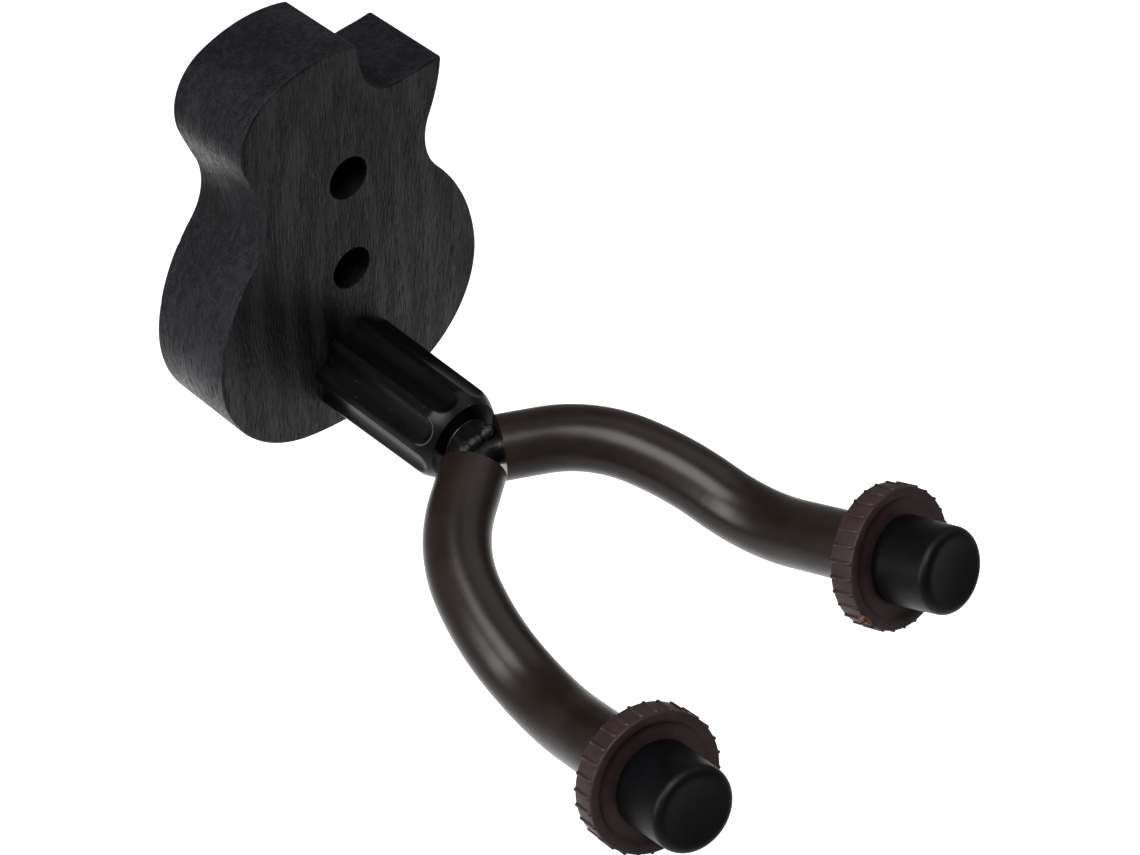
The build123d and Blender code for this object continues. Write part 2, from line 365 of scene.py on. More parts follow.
def ring_rubber(paint):
    """Moulded rubber, purple-brown, a little waxy, with pale stress marks."""
    finish = Finish("Ring rubber", paint)
    bloom = finish.noise(5 * MM, detail=5, roughness=0.65)
    skin = finish.noise(0.35 * MM, detail=3)
    pale = finish.noise(1.2 * MM, detail=5, roughness=0.7, shift=(6, 2, 2)).step(0.58, 0.76)
    colour = finish.tones(bloom.step(0.3, 0.7), 0.75, 1.2)
    return finish.surface(
        finish.mix(pale * 0.3, colour, finish.tone(2.0)), 0.42 + bloom * 0.14, skin * 0.4 + bloom,
        depth=0.07 * MM, specular=0.24
    )


def cap_rubber(paint):
    """Matte moulded rubber, bluish black, with a fine eroded skin and faint dust."""
    finish = Finish("Cap rubber", paint)
    skin = finish.noise(0.22 * MM, detail=3, roughness=0.7)
    bloom = finish.noise(4.5 * MM, detail=5, roughness=0.65)
    dust = finish.noise(0.9 * MM, detail=6, roughness=0.8, shift=(2, 2, 7)).step(0.62, 0.78)
    colour = finish.tones(bloom.step(0.3, 0.7), 0.7, 1.3)
    return finish.surface(
        finish.mix(dust * 0.25, colour, finish.tone(2.6)), 0.36 + bloom * 0.12 + dust * 0.1, skin,
        depth=0.03 * MM, specular=0.14
    )


def burr_rubber(paint):
    """Torn mould flash, thin enough to look orange-brown."""
    finish = Finish("Torn flash", paint)
    torn = finish.noise(0.8 * MM, detail=6, roughness=0.75)
    return finish.surface(
        finish.tones(torn.step(0.42, 0.62), 0.15, 1.0), 0.30 + torn * 0.2, torn, depth=0.2 * MM
    )


def pale_floor(paint, pool, inner, outer):
    """Seamless studio paper with a trace of tooth and a painted pool of light: its emission glows brightest round
    the pool's place and fades to dim beyond its edge.
    """
    finish = Finish("Studio paper", paint)
    tooth = finish.noise(4 * MM, detail=3)
    x, y, _ = finish.split(finish.place)
    # Painted light: the pool of light is emission, full inside the inner radius and faded out at the outer one.
    painted_pool_glow = diagonal(x - pool[0], y - pool[1]).step(outer, inner)
    return finish.surface(
        finish.tones(tooth, 0.99, 1.0), 0.9 + tooth * 0.05, tooth, depth=0.05 * MM,
        Emission_Color=finish.mix(painted_pool_glow, (0.22, 0.22, 0.22, 1), (1, 1, 1, 1)), Emission_Strength=0.9
    )


# --- Mesh helpers ---


def added(name, data):
    """A new object in the scene."""
    thing = bpy.data.objects.new(name, data)
    bpy.context.scene.collection.objects.link(thing)
    return thing


def new_piece(name, mesh, material, body, slot, *replaced):
    """Put a finished mesh in the scene, on its body, in place of the CAD nodes it stands for."""
    mesh.name = name
    piece = added(name, mesh)
    if material.name not in [own.name for own in mesh.materials if own]:
        mesh.materials.append(material)
    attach(piece, body)
    if replaced:
        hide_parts(*replaced)


def finished_mesh(work, sharp_angle=35):
    """Turn mesh-editing data into a smooth-shaded mesh that keeps its sharp edges."""
    bmesh.ops.recalc_face_normals(work, faces=work.faces)
    mesh = bpy.data.meshes.new("mesh")
    work.to_mesh(mesh)
    work.free()
    mesh.shade_smooth()
    mesh.set_sharp_from_angle(angle=radians(sharp_angle))
    return mesh


def flats(reach, sides):
    """How far an outline with flat sides reaches at each angle, with a corner at angle 0."""
    pitch = 2 * pi / sides
    return lambda angle: reach / cos(angle % pitch - pitch / 2)


def turned(profile, origin, axis, side, around=96, limit=None, closed=True, sharp_angle=35):
    """Turn a profile of (radius, height) points about an axis, and cut it to a limiting outline.

    A closed profile makes a ring; an open one has to start and end on the axis.
    """
    work = bmesh.new()
    other = axis.cross(side)
    rings = []
    for radius, height in profile:
        base = origin + axis * height
        if radius == 0:
            rings.append([work.verts.new(base)])
            continue
        ring = []
        for step in range(around):
            angle = 2 * pi * step / around
            distance = min(radius, limit(angle)) if limit else radius
            ring.append(work.verts.new(base + (side * cos(angle) + other * sin(angle)) * distance))
        rings.append(ring)
    above = rings[1:] + rings[:1] if closed else rings[1:]
    for lower, upper in zip(rings, above):
        for step in range(around):
            corners = [lower[at % len(lower)] for at in (step, step + 1)]
            corners += [upper[at % len(upper)] for at in (step + 1, step)]
            work.faces.new(list(dict.fromkeys(corners)))
    return finished_mesh(work, sharp_angle)


def shares(count):
    """Even steps from just above 0 up to 1."""
    return [step / count for step in range(1, count + 1)]


def rounded(start, corner, end, steps=5):
    """Points on a curve that rounds a corner of a profile, from start to end."""
    points = []
    for step in range(steps + 1):
        t = step / steps
        points.append(tuple(
            (1 - t) ** 2 * start[i] + 2 * t * (1 - t) * corner[i] + t ** 2 * end[i] for i in (0, 1)
        ))
    return points


def softened(inner, outer, start, end, radius, steps=4):
    """The closed profile of a flat ring, with every corner rounded by about this radius."""
    corners = [(inner, start), (outer, start), (outer, end), (inner, end)]
    points = []
    for index, corner in enumerate(corners):
        here = Vector(corner)
        before = Vector(corners[index - 1])
        after = Vector(corners[(index + 1) % len(corners)])
        back = min(radius, (before - here).length * 0.45)
        ahead = min(radius, (after - here).length * 0.45)
        start = here + (before - here).normalized() * back
        end = here + (after - here).normalized() * ahead
        points += rounded(start, here, end, steps)
    return points


class Growth(Graph):
    """A Geometry Nodes tree with named inputs, run once on a mesh and then applied."""

    family = "GeometryNode"
    kinds = {float: "NodeSocketFloat", int: "NodeSocketInt", Vector: "NodeSocketVector"}

    def __init__(self, name, sizes):
        tree = bpy.data.node_groups.new(name, "GeometryNodeTree")
        tree.is_modifier = True
        self.offer(tree, "Geometry", "NodeSocketGeometry")
        tree.interface.new_socket("Geometry", in_out="OUTPUT", socket_type="NodeSocketGeometry")
        self.identifiers = {}
        for label, value in sizes.items():
            self.identifiers[label] = self.offer(tree, label, self.kinds[type(value)])
        self.identifiers["Finish"] = self.offer(tree, "Finish", "NodeSocketMaterial")
        super().__init__(tree)
        self.sizes = sizes
        self.source = tree.nodes.new("NodeGroupInput")

    def offer(self, tree, label, kind):
        """Add a named input and return its identifier."""
        return tree.interface.new_socket(label, in_out="INPUT", socket_type=kind).identifier

    def random(self, low, high, seed):
        """A number between two limits, drawn for each element."""
        inputs = {2: low, 3: high, "Seed": seed}
        return self.node("FunctionNodeRandomValue", {"data_type": "FLOAT"}, inputs, output=1)

    def __getitem__(self, label):
        return Wire(self, self.source.outputs[label])

    def finish(self, geometry):
        """End the tree: real geometry with its material."""
        real = self.named("RealizeInstances", Geometry=geometry)
        painted = self.named("SetMaterial", Geometry=real, Material=self["Finish"])
        end = self.tree.nodes.new("NodeGroupOutput")
        self.tree.links.new(painted.socket, end.inputs[0])

    def run(self, material, mesh=None, **changes):
        """Evaluate the tree on a mesh, or on nothing, and return the result as a plain mesh."""
        name = self.tree.name
        carrier = added(name, mesh or bpy.data.meshes.new(name))
        modifier = carrier.modifiers.new(name, "NODES")
        modifier.node_group = self.tree
        for label, value in {**self.sizes, **changes, "Finish": material}.items():
            modifier[self.identifiers[label]] = value
        evaluated = carrier.evaluated_get(bpy.context.evaluated_depsgraph_get())
        result = bpy.data.meshes.new_from_object(evaluated)
        bpy.data.objects.remove(carrier)
        if not result.polygons:
            raise RuntimeError(f"{name} came out empty")
        return result


def joined(meshes):
    """Several meshes as one, with their materials and their sharp edges."""
    carriers = [added("part", mesh) for mesh in meshes]
    first = carriers[0]
    selection = {"selected_editable_objects": carriers, "selected_objects": carriers}
    with bpy.context.temp_override(active_object=first, object=first, **selection):
        bpy.ops.object.join()
    mesh = first.data
    bpy.data.objects.remove(first)
    return mesh


# --- Settings that a user would change ---


def number(name, description, default, **kind):
    return bpy.props.FloatProperty(name=name, description=description, default=default, **kind)


def length(name, description, millimetres):
    return number(name, description, millimetres * MM, unit="LENGTH", precision=5)


def count(name, description, default, least):
    return bpy.props.IntProperty(name=name, description=description, default=default, min=least)


def vector(name, description, default, subtype, **kind):
    return bpy.props.FloatVectorProperty(
        name=name, description=description, default=default, size=len(default), subtype=subtype, **kind
    )


def colour(name, description, default):
    return vector(name, description, default, "COLOR", min=0.0, max=1.0)


class HangerCollar(bpy.types.PropertyGroup):
    """Sizes of the fluted collar."""

    flute_count: count("Flutes", "Flutes round the collar", 8, 3)
    flute_start: number("First flute", "Angle of one flute from the right", radians(101.6), subtype="ANGLE")
    flute_depth: length("Flute depth", "How deep a flute is at the nose", 1.5)
    cutter_radius: length("Cutter radius", "Radius of the ball that would cut a flute", 5)
    end_margin: length("End margin", "From the nose to where the flutes start to run out", 3.5)
    softness: length("Edge softness", "How far a flute's edge is rounded", 0.45)
    nose_radius: length("Nose radius", "Radius where the nose starts to round", 12.4)
    end_radius: length("End radius", "Radius of the flat end of the nose", 10.3)
    nose_length: length("Nose length", "Length of the rounded nose", 4.7)
    nose_fullness: number("Nose fullness", "How late the nose turns in", 1.58)
    bore_radius: length("Bore radius", "Radius of the hole for the bolt", 4.08)
    edge: length("Edge", "Rounding of the two ends", 0.3)


class HangerRings(bpy.types.PropertyGroup):
    """Sizes of the two stop rings."""

    rib_count: count("Ribs", "Ribs round a ring", 28, 6)
    rib_width: length("Rib width", "Width of one rib", 0.95)
    rib_height: length("Rib height", "How far a rib stands above the flats", 0.44)
    body_radius: length("Body radius", "Radius between the ribs", 16.75)
    bore_radius: length("Bore radius", "Radius of the hole for the rod", 4.05)
    rib_length: length("Rib length", "Length of the ribs across the edge", 5.9)
    edge_rounding: length("Edge rounding", "How far the edges are rounded along the ring", 0.5)
    back_rounding: length("Back rounding", "How far the back face is rounded", 0.6)
    front_rounding: length("Front rounding", "How far the front face is rounded", 0.7)
    rim_width: length("Rim width", "Width of the raised rim", 2.3)
    rim_slope: length("Rim slope", "Width of the soft slope from the rim into the dish", 0.8)
    dish_depth: length("Dish depth", "Depth of the dish inside the rim", 0.8)
    nib_size: length("Flash nib", "Largest nib of mould flash on a rib's end", 0.45)
    flake_size: length("Torn flash", "Size of the torn flake left on the right ring", 3.1)
    flake_turn: number("Flake turn", "Where the flake sits round the ring", radians(24), subtype="ANGLE")
    flake_thickness: length("Flake thickness", "Thickness of the flake at its root", 0.35)
    flake_place: length("Flake place", "Where the flake sits across the ring, from its middle", 3.2)
    seed: count("Seed", "Which ribs and nibs are larger", 7, 0)


class HangerCaps(bpy.types.PropertyGroup):
    """Sizes of the two end caps."""

    edge_radius: length("Edge radius", "Rounding of the closed end", 2.2)
    dish_depth: length("Dish depth", "How far the closed end is sunk in", 0.75)
    nose_radius: length("Nose radius", "Radius just before the closed end", 10.2)
    wall: length("End wall", "Thickness of the closed end", 3.5)
    bore_radius: length("Bore radius", "Radius of the hole for the rod", 4.05)


class HangerHardware(bpy.types.PropertyGroup):
    """Sizes of the swivel bolt, nut, washers and weld."""

    head_width: length("Head width", "Across the flats of the bolt's head", 12)
    nut_width: length("Nut width", "Across the flats of the lock nut", 13)
    shank_radius: length("Shank radius", "Radius of the bolt", 4)
    thread_pitch: length("Thread pitch", "Distance between two threads", 1.25)
    thread_depth: length("Thread depth", "Depth of the thread", 0.55)
    chamfer: length("Bolt chamfer", "Chamfer at the end of the bolt", 0.7)
    head_rounding: length("Head rounding", "Height of the rounded rim of the head", 0.6)
    crown_radius: length("Crown radius", "Radius of the nut's crown", 5.9)
    crown_shoulder: length("Crown shoulder", "Rounding of the crown across its top", 0.9)
    crown_drop: length("Crown drop", "Rounding of the crown down its side", 1.1)
    hex_height: length("Hexagon height", "Height of the nut's hexagon", 5.6)
    insert_seat: length("Insert seat", "Depth of the nut's seat for its insert", 2.3)
    insert_radius: length("Insert radius", "Radius of the nylon insert", 5.1)
    washer_bore: length("Washer bore", "Radius of the washers' holes", 4.2)
    clearance: length("Clearance", "Gap between the bolt and what turns on it", 0.05)
    bead_radius: length("Bead radius", "Radius of a weld bead", 1.5)
    bead_offset: length("Bead offset", "From the swivel axis to a bead", 4.4)
    bead_length: length("Bead length", "Length of a weld bead", 8.4)
    ripple_count: count("Ripples", "Ripples along a weld bead", 9, 3)


class HangerFinishes(bpy.types.PropertyGroup):
    """Colours of the materials."""

    wood: colour("Stained wood", "Block", (0.0060, 0.0060, 0.0061))
    plastic: colour("Moulded plastic", "Collar", (0.0014, 0.0014, 0.0016))
    paint: colour("Painted steel", "Bolt head and rod", (0.0030, 0.0030, 0.0033))
    weld: colour("Weld metal", "Weld beads", (0.11, 0.11, 0.12))
    zinc: colour("Zinc plate", "Nut and washers behind the block", (0.56, 0.57, 0.58))
    nylon: colour("Nylon", "Insert of the lock nut", (0.72, 0.73, 0.70))
    sleeves: colour("Sleeves", "Sleeves on the arms", (0.0105, 0.0068, 0.0054))
    rings: colour("Rings", "Stop rings", (0.0260, 0.0140, 0.0145))
    flash: colour("Torn flash", "Torn edge of a ring", (0.17, 0.060, 0.024))
    caps: colour("Caps", "End caps", (0.0012, 0.0012, 0.0017))


class HangerStage(bpy.types.PropertyGroup):
    """Camera, lights and floor."""

    camera_place: vector(
        "Camera place", "Where the camera stands", (-0.34055, -0.43716, 0.42056), "XYZ",
        unit="LENGTH", precision=5,
    )
    camera_turn: vector(
        "Camera turn", "How the camera is turned",
        (radians(47.685), radians(-1.321), radians(-44.150)), "EULER",
    )
    camera_lens: number("Lens", "Focal length on a 36 mm sensor", 89.609, unit="CAMERA")
    floor_drop: length("Floor drop", "How far the floor lies below the hanger", 350)
    floor_size: length("Floor size", "Side of the square floor", 8000)
    floor_paint: colour("Floor", "Studio paper", (0.86, 0.86, 0.86))
    # The pool of light on the floor is painted: the floor's own emission, placed and sized by these three
    # settings.
    pool_place: vector(
        "Pool of light", "Where the floor is lit brightest", (0.340, 0.263), "XYZ", unit="LENGTH"
    )
    pool_inner: length("Pool radius", "How far the full light reaches", 410)
    pool_outer: length("Pool edge", "Where the light has faded away", 640)
    surround: number("Surround", "Brightness of the studio's walls", 0.17)
    ceiling: number("Ceiling", "Brightness of the studio's ceiling", 0.10)
    key_power: number("Key", "Large soft box overhead", 7.5, unit="POWER")
    fill_power: number("Fill", "Weak soft box on the right", 1.5, unit="POWER")
    side_power: number("Side", "Strip light on the left", 4.4, unit="POWER")


# --- Operators ---


def paint_node(node, material):
    """Give a CAD node that stays visible its material."""
    mesh = nodes[node].data
    mesh.materials.clear()
    mesh.materials.append(material)


class HANGER_OT_block(bpy.types.Operator):
    """Finish the wooden block as black-stained timber"""

    bl_idname = "hanger.block"
    bl_label = "Block"

    def execute(self, context):
        paint_node("base_block", black_stained_wood(context.scene.hanger_finishes.wood))
        return {"FINISHED"}


def flute_growth(sizes):
    """A tree that presses flutes into a turned collar, with softly rounded edges."""
    growth = Growth("Flutes", sizes)
    x, y, z = growth.split(growth.node("GeometryNodeInputPosition"))
    z = z - growth["Stem height"]
    radius = diagonal(x, z)
    pitch = 2 * pi / growth["Flutes"]
    angle = z.math("ARCTAN2", x) - growth["First flute"]
    from_flute = angle.math("WRAP", pitch / 2, pitch / -2)
    across = radius * from_flute.math("SINE")
    past_end = (growth["Flute end"] - y).math("MAXIMUM", 0.0)
    cutter = growth["Cutter radius"]
    room = cutter * cutter - past_end * past_end - across * across
    floor = growth["Cutter distance"] - room.math("MAXIMUM", 0.0).math("SQRT")
    pressed = radius.math("SMOOTH_MIN", floor, growth["Softness"])
    share = pressed / radius
    height = z * share + growth["Stem height"]
    place = growth.node("ShaderNodeCombineXYZ", inputs=(x * share, y, height))
    growth.finish(growth.named("SetPosition", Geometry=growth["Geometry"], Position=place))
    return growth


class HANGER_OT_collar(bpy.types.Operator):
    """Mould the fluted collar that stands off the block"""

    bl_idname = "hanger.collar"
    bl_label = "Collar"

    def execute(self, context):
        sizes = context.scene.hanger_collar
        low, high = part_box("collar")
        start, end = reach("collar")
        root_radius = (high.z - low.z) / 2
        bore = sizes.bore_radius
        edge = sizes.edge
        nose_start = end - sizes.nose_length
        profile = [(bore, start), (root_radius - edge, start), (root_radius, start + edge)]
        nose = sizes.nose_radius
        for share in shares(64):
            radius = root_radius + (nose - root_radius) * share
            profile.append((radius, start + (nose_start - start) * share))
        for share in shares(14):
            fall = (nose - sizes.end_radius) * share ** sizes.nose_fullness
            profile.append((nose - fall, nose_start + sizes.nose_length * share))
        profile += [(sizes.end_radius - edge, end), (bore + edge, end), (bore, end - edge)]
        foot = Vector((0, 0, stem.z))
        blank = turned(profile, foot, OUTWARD, Vector((1, 0, 0)), around=384)
        growth = flute_growth({
            "Stem height": stem.z,
            "Flutes": sizes.flute_count,
            "First flute": sizes.flute_start,
            "Cutter radius": sizes.cutter_radius,
            "Cutter distance": sizes.nose_radius - sizes.flute_depth + sizes.cutter_radius,
            "Flute end": -end + sizes.end_margin,
            "Softness": sizes.softness,
        })
        material = satin_plastic(context.scene.hanger_finishes.plastic)
        mesh = growth.run(material, blank)
        new_piece("fluted_collar", mesh, material, "base", "black_moulded_plastic", "collar")
        return {"FINISHED"}


def thread_growth(sizes):
    """A tree that winds a V-shaped thread round the bolt's end."""
    growth = Growth("Thread", sizes)
    helix = growth.named(
        "CurveSpiral", Resolution=48, Rotations=growth["Turns"], Start_Radius=growth["Radius"],
        End_Radius=growth["Radius"], Height=growth["Turns"] * growth["Pitch"],
    )
    ridge = growth.named("CurvePrimitiveCircle", Resolution=4, Radius=growth["Depth"])
    wound = growth.named("CurveToMesh", Curve=helix, Profile_Curve=ridge, Fill_Caps=True)
    turn = radians(90), 0, 0
    growth.finish(growth.named("Transform", Geometry=wound, Translation=growth["Start"], Rotation=turn))
    return growth


class HANGER_OT_hardware(bpy.types.Operator):
    """Turn the swivel bolt, its lock nut and the washers"""

    bl_idname = "hanger.hardware"
    bl_label = "Bolt, nut and washers"

    def execute(self, context):
        sizes = context.scene.hanger_hardware
        paints = context.scene.hanger_finishes
        axis_foot = Vector((0, 0, stem.z))
        swivel = axis_foot, OUTWARD, yoke_side
        black = glossy_paint(paints.paint)
        zinc = zinc_plate(paints.zinc)
        white = nylon(paints.nylon)
        paint_node("yoke_rod", black)
        paint_node("spring_washer", zinc)

        bolt_end, head_front = reach("yoke_bolt")
        head_back = reach("front_washer")[1]
        nut_start, nut_end = reach("lock_nut")
        shank = sizes.shank_radius
        core = shank - sizes.thread_depth
        corner = sizes.head_width / 2 * HEAD_CORNER
        flat = sizes.head_width / 2 * HEAD_FLAT
        chamfer = sizes.chamfer
        rounding = sizes.head_rounding
        profile = [(0, bolt_end), (core - chamfer, bolt_end), (core, bolt_end + chamfer)]
        profile += [(core, nut_end + MM), (shank, nut_end + MM + chamfer), (shank, head_back)]
        profile += [(corner - rounding / 2, head_back)]
        profile += [(corner, head_back + rounding / 2), (corner, head_front - 1.5 * rounding)]
        profile += rounded((corner, head_front - rounding), (corner, head_front), (flat, head_front), 4)
        profile += [(0, head_front)]
        bolt = turned(profile, *swivel, 96, flats(sizes.head_width / 2, 6), False, 20)
        new_piece("swivel_bolt", bolt, black, "yoke", "black_painted_steel", "yoke_bolt")

        growth = thread_growth({
            "Turns": (nut_end - bolt_end) / sizes.thread_pitch,
            "Radius": core,
            "Pitch": sizes.thread_pitch,
            "Depth": sizes.thread_depth,
            "Start": Vector((0, -bolt_end - chamfer, stem.z)),
        })
        new_piece("bolt_thread", growth.run(zinc), zinc, "yoke", "zinc_plated_steel")

        nut_corner = sizes.nut_width / 2 * NUT_CORNER
        nut_flat = sizes.nut_width / 2 * NUT_FLAT
        crown = sizes.crown_radius
        bore = shank + sizes.clearance
        seat = nut_start + sizes.insert_seat
        lip = sizes.insert_radius - 0.2 * MM
        shoulder = nut_end - sizes.hex_height
        outline = [(bore, seat), (lip, seat), (lip, nut_start)]
        top = crown - sizes.crown_shoulder, nut_start
        outline += rounded(top, (crown, nut_start), (crown, nut_start + sizes.crown_drop), 6)
        outline += [(crown, shoulder), (nut_flat, shoulder), (nut_corner, shoulder + 0.8 * MM)]
        outline += [(nut_corner, nut_end - chamfer), (nut_flat, nut_end), (bore + chamfer / 2, nut_end)]
        outline += [(bore, nut_end - chamfer / 2)]
        nut = turned(outline, *swivel, 96, flats(sizes.nut_width / 2, 6), True, 25)
        new_piece("swivel_nut", nut, zinc, "yoke", "zinc_plated_steel", "lock_nut")

        insert_start, insert_end = reach("nut_insert")
        ring = turned(softened(bore, sizes.insert_radius, insert_start, insert_end, 0.35 * MM), *swivel)
        new_piece("nylon_ring", ring, white, "yoke", "nylon", "nut_insert")

        for node, name, material, slot in (
            ("front_washer", "nose_washer", black, "black_painted_steel"),
            ("back_washer", "pocket_washer", zinc, "zinc_plated_steel"),
        ):
            low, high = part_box(node)
            start, end = reach(node)
            rim = (high.z - low.z) / 2
            profile = softened(sizes.washer_bore, rim, start, end, 0.3 * MM)
            disc = turned(profile, axis_foot, OUTWARD, Vector((1, 0, 0)))
            new_piece(name, disc, material, "base", slot, node)
        return {"FINISHED"}


def bead_growth(sizes):
    """A tree that lays overlapping ripples of weld metal in a row."""
    growth = Growth("Weld bead", sizes)
    row = growth.named(
        "MeshLine", Count=growth["Ripples"], Start_Location=growth["Start"], Offset=growth["Step"]
    )
    drop = growth.named("MeshIcoSphere", Radius=growth["Radius"], Subdivisions=4)
    size = growth.random(0.66, 1.15, growth["Seed"])
    inputs = {0: (-0.35 * MM,) * 3, 1: (0.35 * MM,) * 3, "Seed": growth["Seed"]}
    sway = growth.node("FunctionNodeRandomValue", {"data_type": "FLOAT_VECTOR"}, inputs)
    row = growth.named("SetPosition", Geometry=row, Offset=sway)
    growth.finish(growth.named("InstanceOnPoints", Points=row, Instance=drop, Scale=size))
    return growth


class HANGER_OT_weld(bpy.types.Operator):
    """Lay the weld beads between the bolt's head and the rod"""

    bl_idname = "hanger.weld"
    bl_label = "Weld"

    def execute(self, context):
        sizes = context.scene.hanger_hardware
        material = weld_metal(context.scene.hanger_finishes.weld)
        head_front = reach("yoke_bolt")[1]
        step = yoke_side * (sizes.bead_length / (sizes.ripple_count - 1))
        growth = bead_growth({
            "Ripples": sizes.ripple_count,
            "Start": Vector(),
            "Step": step,
            "Radius": sizes.bead_radius,
            "Seed": 3,
        })
        beads = []
        for seed, way in ((3, 1), (8, -1)):
            start = Vector((0, -head_front - 0.2 * MM, stem.z)) + yoke_up * (way * sizes.bead_offset)
            start -= yoke_side * (sizes.bead_length / 2)
            beads.append(growth.run(material, Start=start, Seed=seed))
        new_piece("weld_seams", joined(beads), material, "yoke", "weld_metal", "weld_beads")
        return {"FINISHED"}


class HANGER_OT_sleeves(bpy.types.Operator):
    """Finish the two sleeves as smooth extruded rubber"""

    bl_idname = "hanger.sleeves"
    bl_label = "Sleeves"

    def execute(self, context):
        material = sleeve_rubber(context.scene.hanger_finishes.sleeves)
        paint_node("left_sleeve", material)
        paint_node("right_sleeve", material)
        return {"FINISHED"}


def rib_growth(sizes):
    """A tree that stands round ribs on the edge of a ring and leaves nibs of flash at their ends."""
    growth = Growth("Ribs", sizes)
    circle = growth.named("MeshCircle", Vertices=growth["Ribs"], Radius=growth["Radius"])
    place = growth.node("GeometryNodeInputPosition")
    facing = growth.node("FunctionNodeAlignRotationToVector", {"axis": "X"}, {"Vector": place})
    rib = growth.named("MeshCylinder", Vertices=12, Radius=1.0, Depth=1.0, Side_Segments=3)
    unevenness = growth.random(0.8, 1.15, growth["Seed"])
    sizes = growth["Height"] * unevenness, growth["Width"] / 2, growth["Length"]
    scale = growth.node("ShaderNodeCombineXYZ", inputs=sizes)
    standing = "InstanceOnPoints"
    pieces = [growth.named(standing, Points=circle, Instance=rib, Rotation=facing, Scale=scale)]
    nib = growth.named("MeshIcoSphere", Radius=1.0, Subdivisions=2)
    for offset, way in ((11, 1), (23, -1)):
        seed = growth["Seed"] + float(offset)
        inputs = {"Probability": 0.55, "Seed": seed}
        picked = growth.node("FunctionNodeRandomValue", {"data_type": "BOOLEAN"}, inputs, output=3)
        size = growth.random(0.35, 1.0, seed) * growth["Nib"]
        shape = growth.node("ShaderNodeCombineXYZ", inputs=(size, size * 0.7, size * 0.45))
        end = growth["Length"] * (0.49 * way)
        shift = growth.node("ShaderNodeCombineXYZ", inputs=(0.0, 0.0, end))
        raised = growth.named("SetPosition", Geometry=circle, Offset=shift)
        pieces.append(growth.named(
            standing, Points=raised, Selection=picked, Instance=nib, Rotation=facing, Scale=shape
        ))
    together = growth.tree.nodes.new("GeometryNodeJoinGeometry")
    for piece in reversed(pieces):
        growth.tree.links.new(piece.socket, together.inputs[0])
    growth.finish(Wire(growth, together.outputs[0]))
    return growth


def seated(mesh, tip, along):
    """Move a mesh made about the Z axis onto a tip's axis."""
    up = tip.axis.cross(tip.across)
    for vertex in mesh.vertices:
        x, y, z = vertex.co
        vertex.co = tip.at(along + z) + tip.across * x + up * y
    mesh.update()
    return mesh


def torn_flake(size, thickness, columns=13, rows=7):
    """A thin torn sheet, rooted along X, reaching out along Y and curling up along Z."""
    work = bmesh.new()
    sheets = []
    for half in (thickness / 2, -thickness / 2):
        sheet = []
        for column in range(columns):
            across = column / (columns - 1) - 0.5
            ragged = 0.62 + 0.22 * sin(column * 2.3) + 0.16 * sin(column * 5.1 + 1)
            line = []
            for row in range(rows):
                share = row / (rows - 1)
                curl = 0.30 * share ** 2 * sin(column * 0.8) + 0.10 * sin(column * 3.7 + row * 2.1)
                taper = 1 - 0.75 * share
                line.append(work.verts.new((
                    size * across * (1 - 0.3 * share), size * share * ragged, size * curl + half * taper
                )))
            sheet.append(line)
        sheets.append(sheet)
    for column in range(columns - 1):
        for row in range(rows - 1):
            for sheet in sheets:
                lower, upper = sheet[column], sheet[column + 1]
                work.faces.new([lower[row], upper[row], upper[row + 1], lower[row + 1]])
    top, bottom = sheets
    rim = [(column, 0) for column in range(columns)] + [(columns - 1, row) for row in range(1, rows)]
    rim += [(column, rows - 1) for column in range(columns - 2, -1, -1)]
    rim += [(0, row) for row in range(rows - 2, 0, -1)]
    for (column, row), (next_column, next_row) in zip(rim, rim[1:] + rim[:1]):
        work.faces.new([
            top[column][row], top[next_column][next_row], bottom[next_column][next_row], bottom[column][row]
        ])
    return finished_mesh(work, 60)


class HANGER_OT_flake(bpy.types.Operator):
    """Leave a torn flake of mould flash on the back edge of the right ring"""

    bl_idname = "hanger.flake"
    bl_label = "Torn flash"

    def execute(self, context):
        sizes = context.scene.hanger_rings
        tip = tips[1]
        material = burr_rubber(context.scene.hanger_finishes.flash)
        mesh = torn_flake(sizes.flake_size, sizes.flake_thickness)
        outward = tip.across * cos(sizes.flake_turn) + tip.axis.cross(tip.across) * sin(sizes.flake_turn)
        along_rim = tip.axis.cross(outward)
        lying = (outward * 0.35 - tip.axis).normalized()
        lift = along_rim.cross(lying)
        lift *= 1 if lift.dot(outward) > 0 else -1
        root = tip.at(sizes.flake_place) + outward * sizes.body_radius - lying * (sizes.flake_size / 3)
        for vertex in mesh.vertices:
            x, y, z = vertex.co
            vertex.co = root + along_rim * x + lying * y + lift * (z + sizes.rib_height / 2)
        mesh.update()
        new_piece("torn_flash", mesh, material, "yoke", "ring_rubber")
        return {"FINISHED"}


